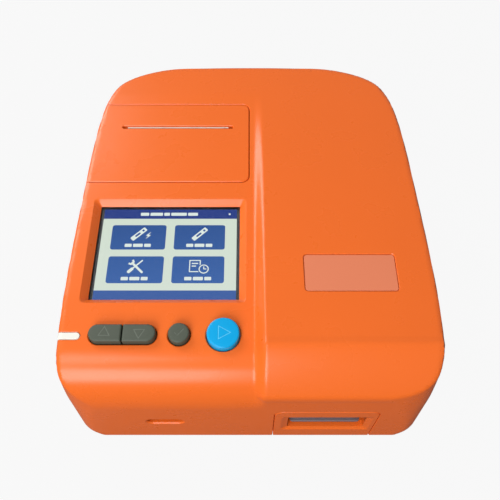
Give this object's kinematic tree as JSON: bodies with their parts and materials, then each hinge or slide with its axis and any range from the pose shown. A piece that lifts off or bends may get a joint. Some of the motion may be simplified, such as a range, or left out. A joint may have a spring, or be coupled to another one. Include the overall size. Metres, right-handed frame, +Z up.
{
  "type": "progesterone analyzer",
  "caption": "Desk-top assay-card reader: rounded plastic housing, screen, keys, slip printer under a hinged cover and a motor-driven card tray.",
  "frame": {"origin": "on the table, under the middle of the body's outline", "axes": "+X to the user's right, +Y to the rear, +Z up"},
  "size_m": [0.1792, 0.2016, 0.092],
  "materials": {
    "orange_plastic": "satin",
    "dark_plastic": "fine texture",
    "grey_plastic": "fine texture",
    "white_plastic": "satin",
    "key_rubber": "silicone, matt",
    "start_plastic": "semi-gloss",
    "foot_rubber": "matt",
    "label_film": "printed film, satin",
    "glow_plastic": "translucent diffuser",
    "cover_glass": "polished",
    "module_metal": "plated sheet",
    "steel": "plain",
    "circuit_board": "solder mask",
    "paper": "coated paper",
    "lens_glass": "polished",
    "flex_film": "polyimide film",
    "battery_wrap": "heat-shrink sleeve"
  },
  "bodies": {
    "body": {"upper_housing": "orange_plastic", "lower_housing": "dark_plastic", "port_bezel": "orange_plastic", "housing_screw_front_left": "steel", "housing_screw_front_right": "steel", "housing_screw_rear_left": "steel", "housing_screw_rear_right": "steel", "foot_front_left": "foot_rubber", "foot_front_right": "foot_rubber", "foot_rear_left": "foot_rubber", "foot_rear_right": "foot_rubber", "display_glass": "cover_glass", "display_module": "module_metal", "display_bracket": "dark_plastic", "display_ribbon": "flex_film", "keypad_membrane": "foot_rubber", "keypad_board": "circuit_board", "light_bar": "glow_plastic", "name_plate": "label_film", "cover_hinge_pin": "steel", "printer_frame": "dark_plastic", "idler_pin": "steel", "printer_motor": "steel", "thermal_head": "grey_plastic", "head_spring": "steel", "paper_strip": "paper", "tray_guide": "dark_plastic", "tray_motor": "steel", "home_sensor": "dark_plastic", "optical_head": "dark_plastic", "optical_lens": "lens_glass", "detector_board": "circuit_board", "code_chip_socket": "dark_plastic", "main_board": "circuit_board", "shield_can": "steel", "buzzer": "dark_plastic", "battery_pack": "battery_wrap", "io_board": "circuit_board", "usb_port": "module_metal", "dc_inlet": "dark_plastic", "switch_body": "dark_plastic"},
    "cover": {"printer_cover": "orange_plastic"},
    "roll": {"paper_roll": "paper", "paper_spindle": "grey_plastic"},
    "platen": {"platen_roller": "foot_rubber", "platen_shaft": "steel", "platen_gear": "white_plastic"},
    "idler": {"idler_gear": "white_plastic"},
    "printer_pinion": {"motor_pinion": "white_plastic"},
    "tray": {"card_tray": "grey_plastic", "tray_rack": "white_plastic"},
    "tray_drive": {"tray_pinion": "white_plastic", "tray_drive_shaft": "steel"},
    "up": {"up_key": "key_rubber"},
    "down": {"down_key": "key_rubber"},
    "ok": {"ok_key": "key_rubber"},
    "start": {"start_key": "start_plastic"},
    "rocker": {"power_rocker": "dark_plastic"}
  },
  "joints": [
    {"name": "cover_hinge", "type": "hinge", "parent": "body", "child": "cover", "pos_m": [-0.004, 0.041, 0.08581], "axis": [0, 0.9954, 0.0958], "range_deg": [0, 100]},
    {"name": "roll_spin", "type": "hinge", "parent": "body", "child": "roll", "pos_m": [-0.04035, 0.03405, 0.06052], "axis": [1, 0, 0], "continuous": true},
    {"name": "platen_spin", "type": "hinge", "parent": "body", "child": "platen", "pos_m": [-0.04035, 0.04788, 0.07491], "axis": [1, 0, 0], "continuous": true},
    {"name": "idler_spin", "type": "hinge", "parent": "body", "child": "idler", "pos_m": [-0.07475, 0.05436, 0.06434], "axis": [1, 0, 0], "continuous": true},
    {"name": "printer_pinion_spin", "type": "hinge", "parent": "body", "child": "printer_pinion", "pos_m": [-0.07475, 0.06, 0.05513], "axis": [1, 0, 0], "continuous": true},
    {"name": "tray_slide", "type": "slide", "parent": "body", "child": "tray", "axis": [0, -1, 0], "range_m": [0, 0.06]},
    {"name": "tray_drive_spin", "type": "hinge", "parent": "body", "child": "tray_drive", "pos_m": [0.06498, -0.0738, 0.0221], "axis": [0, 0, 1], "range_deg": [0, 430]},
    {"name": "up_press", "type": "slide", "parent": "body", "child": "up", "axis": [0, 0.0958, -0.9954], "range_m": [0, 0.0012], "stiffness_N_per_m": 300, "springref_m": -0.0006},
    {"name": "down_press", "type": "slide", "parent": "body", "child": "down", "axis": [0, 0.0958, -0.9954], "range_m": [0, 0.0012], "stiffness_N_per_m": 300, "springref_m": -0.0006},
    {"name": "ok_press", "type": "slide", "parent": "body", "child": "ok", "axis": [0, 0.0958, -0.9954], "range_m": [0, 0.0012], "stiffness_N_per_m": 300, "springref_m": -0.0006},
    {"name": "start_press", "type": "slide", "parent": "body", "child": "start", "axis": [0, 0.0958, -0.9954], "range_m": [0, 0.0012], "stiffness_N_per_m": 300, "springref_m": -0.0006},
    {"name": "rocker_tilt", "type": "hinge", "parent": "body", "child": "rocker", "pos_m": [0.047, 0.0927, 0.0235], "axis": [0, 0, 1], "range_deg": [0, 16]}
  ],
  "couplings": [
    {"joint": "platen_spin", "follows": "roll_spin", "ratio": 3.3333},
    {"joint": "idler_spin", "follows": "roll_spin", "ratio": -2.7451},
    {"joint": "printer_pinion_spin", "follows": "roll_spin", "ratio": 4.6667},
    {"joint": "tray_drive_spin", "follows": "tray_slide", "rad_per_m": 125}
  ]
}
